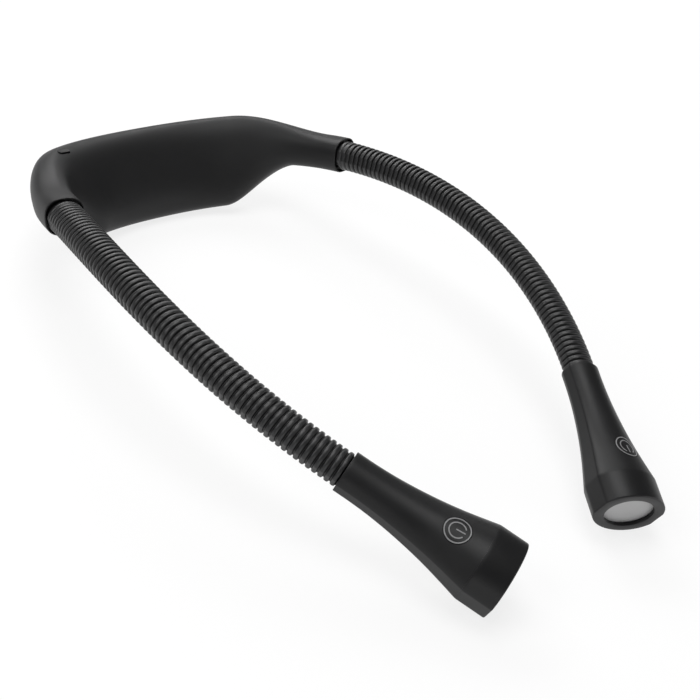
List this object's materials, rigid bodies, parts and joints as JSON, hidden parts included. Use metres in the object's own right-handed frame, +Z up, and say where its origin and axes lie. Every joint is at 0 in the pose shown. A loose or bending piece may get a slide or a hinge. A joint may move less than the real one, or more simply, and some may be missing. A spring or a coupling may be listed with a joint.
{
  "type": "neck reading light",
  "caption": "Neck-worn reading light: curved battery housing behind the neck, two bendable ribbed arms, and an oval lamp head with a power button on each.",
  "frame": {"origin": "on the table, midway between the left and right sides and midway between the back of the housing and the lamp ends", "axes": "+Z up from the table it lies on; -Y towards the lamp ends, the way the wearer faces; +X to the wearer's left"},
  "size_m": [0.1838, 0.2952, 0.052],
  "materials": {
    "housing_soft_black": "soft-touch black, very fine matte grain",
    "cover_soft_black": "soft-touch black, very fine matte grain",
    "sleeve_rubber": "matte black ribbed silicone rubber",
    "core_aluminium": "drawn, plain",
    "anchor_nylon": "natural nylon",
    "head_satin_black": "satin black",
    "cap_satin_black": "satin black",
    "button_satin_black": "satin black with a grey printed power mark",
    "lens_frosted": "frosted translucent polycarbonate",
    "reflector_white": "white, glossy",
    "led_board_white": "white solder mask",
    "led_yellow": "yellow phosphor",
    "switch_board_green": "green solder mask",
    "switch_black": "moulded black",
    "charging_board_green": "green solder mask",
    "socket_steel": "stamped, bright",
    "screw_steel": "zinc plated",
    "battery_wrap": "blue shrink wrap",
    "indicator_smoked": "smoked clear, glossy"
  },
  "bodies": {
    "housing": {"housing_shell": "housing_soft_black", "back_cover": "cover_soft_black", "battery_pack": "battery_wrap", "charging_board": "charging_board_green", "usb_c_socket": "socket_steel", "charge_indicator": "indicator_smoked", "right_cover_screw": "screw_steel", "right_arm_anchor": "anchor_nylon", "right_sleeve_1": "sleeve_rubber", "right_core_1": "core_aluminium", "left_cover_screw": "screw_steel", "left_arm_anchor": "anchor_nylon", "left_sleeve_1": "sleeve_rubber", "left_core_1": "core_aluminium"},
    "right_arm_link_2": {"right_sleeve_2": "sleeve_rubber", "right_core_2": "core_aluminium"},
    "right_arm_link_3": {"right_sleeve_3": "sleeve_rubber", "right_core_3": "core_aluminium"},
    "right_arm_link_4": {"right_sleeve_4": "sleeve_rubber", "right_core_4": "core_aluminium"},
    "right_arm_link_5": {"right_sleeve_5": "sleeve_rubber", "right_core_5": "core_aluminium"},
    "right_arm_link_6": {"right_sleeve_6": "sleeve_rubber", "right_core_6": "core_aluminium"},
    "right_lamp": {"right_sleeve_7": "sleeve_rubber", "right_core_7": "core_aluminium", "right_head_anchor": "anchor_nylon", "right_head_body": "head_satin_black", "right_lamp_cap": "cap_satin_black", "right_lens": "lens_frosted", "right_reflector": "reflector_white", "right_led_board": "led_board_white", "right_led": "led_yellow", "right_switch_board": "switch_board_green", "right_push_switch": "switch_black"},
    "right_button": {"right_power_button": "button_satin_black"},
    "left_arm_link_2": {"left_sleeve_2": "sleeve_rubber", "left_core_2": "core_aluminium"},
    "left_arm_link_3": {"left_sleeve_3": "sleeve_rubber", "left_core_3": "core_aluminium"},
    "left_arm_link_4": {"left_sleeve_4": "sleeve_rubber", "left_core_4": "core_aluminium"},
    "left_arm_link_5": {"left_sleeve_5": "sleeve_rubber", "left_core_5": "core_aluminium"},
    "left_arm_link_6": {"left_sleeve_6": "sleeve_rubber", "left_core_6": "core_aluminium"},
    "left_lamp": {"left_sleeve_7": "sleeve_rubber", "left_core_7": "core_aluminium", "left_head_anchor": "anchor_nylon", "left_head_body": "head_satin_black", "left_lamp_cap": "cap_satin_black", "left_lens": "lens_frosted", "left_reflector": "reflector_white", "left_led_board": "led_board_white", "left_led": "led_yellow", "left_switch_board": "switch_board_green", "left_push_switch": "switch_black"},
    "left_button": {"left_power_button": "button_satin_black"}
  },
  "joints": [
    {"name": "right_arm_lift_1", "type": "hinge", "parent": "housing", "child": "right_arm_link_2", "pos_m": [-0.0783, 0.06462, 0.0422], "axis": [-0.9539, 0.1539, -0.2575], "range_deg": [-18, 18]},
    {"name": "right_arm_swing_2", "type": "hinge", "parent": "right_arm_link_2", "child": "right_arm_link_3", "pos_m": [-0.08276, 0.03759, 0.04535], "axis": [-0.2615, 0.0923, 0.9608], "range_deg": [-18, 18]},
    {"name": "right_arm_lift_3", "type": "hinge", "parent": "right_arm_link_3", "child": "right_arm_link_4", "pos_m": [-0.08462, 0.01009, 0.04568], "axis": [-0.9598, 0.0221, -0.2799], "range_deg": [-18, 18]},
    {"name": "right_arm_swing_4", "type": "hinge", "parent": "right_arm_link_4", "child": "right_arm_link_5", "pos_m": [-0.08325, -0.01735, 0.04336], "axis": [-0.2736, -0.1544, 0.9494], "range_deg": [-18, 18]},
    {"name": "right_arm_lift_5", "type": "hinge", "parent": "right_arm_link_5", "child": "right_arm_link_6", "pos_m": [-0.07827, -0.04408, 0.03884], "axis": [-0.9383, -0.1834, -0.2932], "range_deg": [-18, 18]},
    {"name": "right_arm_swing_6", "type": "hinge", "parent": "right_arm_link_6", "child": "right_lamp", "pos_m": [-0.06968, -0.06956, 0.03275], "axis": [-0.1966, -0.3303, 0.9232], "range_deg": [-18, 18]},
    {"name": "left_arm_lift_1", "type": "hinge", "parent": "housing", "child": "left_arm_link_2", "pos_m": [0.0783, 0.06462, 0.0422], "axis": [-0.9539, -0.1539, 0.2575], "range_deg": [-18, 18]},
    {"name": "left_arm_swing_2", "type": "hinge", "parent": "left_arm_link_2", "child": "left_arm_link_3", "pos_m": [0.08276, 0.03759, 0.04535], "axis": [0.2615, 0.0923, 0.9608], "range_deg": [-18, 18]},
    {"name": "left_arm_lift_3", "type": "hinge", "parent": "left_arm_link_3", "child": "left_arm_link_4", "pos_m": [0.08462, 0.01009, 0.04568], "axis": [-0.9598, -0.0221, 0.2799], "range_deg": [-18, 18]},
    {"name": "left_arm_swing_4", "type": "hinge", "parent": "left_arm_link_4", "child": "left_arm_link_5", "pos_m": [0.08325, -0.01735, 0.04336], "axis": [0.2736, -0.1544, 0.9494], "range_deg": [-18, 18]},
    {"name": "left_arm_lift_5", "type": "hinge", "parent": "left_arm_link_5", "child": "left_arm_link_6", "pos_m": [0.07827, -0.04408, 0.03884], "axis": [-0.9383, 0.1834, 0.2932], "range_deg": [-18, 18]},
    {"name": "left_arm_swing_6", "type": "hinge", "parent": "left_arm_link_6", "child": "left_lamp", "pos_m": [0.06968, -0.06956, 0.03275], "axis": [0.1966, -0.3303, 0.9232], "range_deg": [-18, 18]},
    {"name": "right_button_press", "type": "slide", "parent": "right_lamp", "child": "right_button", "axis": [0.2381, 0.2145, -0.9472], "range_m": [0, 0.0005], "stiffness_N_per_m": 800},
    {"name": "left_button_press", "type": "slide", "parent": "left_lamp", "child": "left_button", "axis": [-0.2381, 0.2145, -0.9472], "range_m": [0, 0.0005], "stiffness_N_per_m": 800}
  ]
}
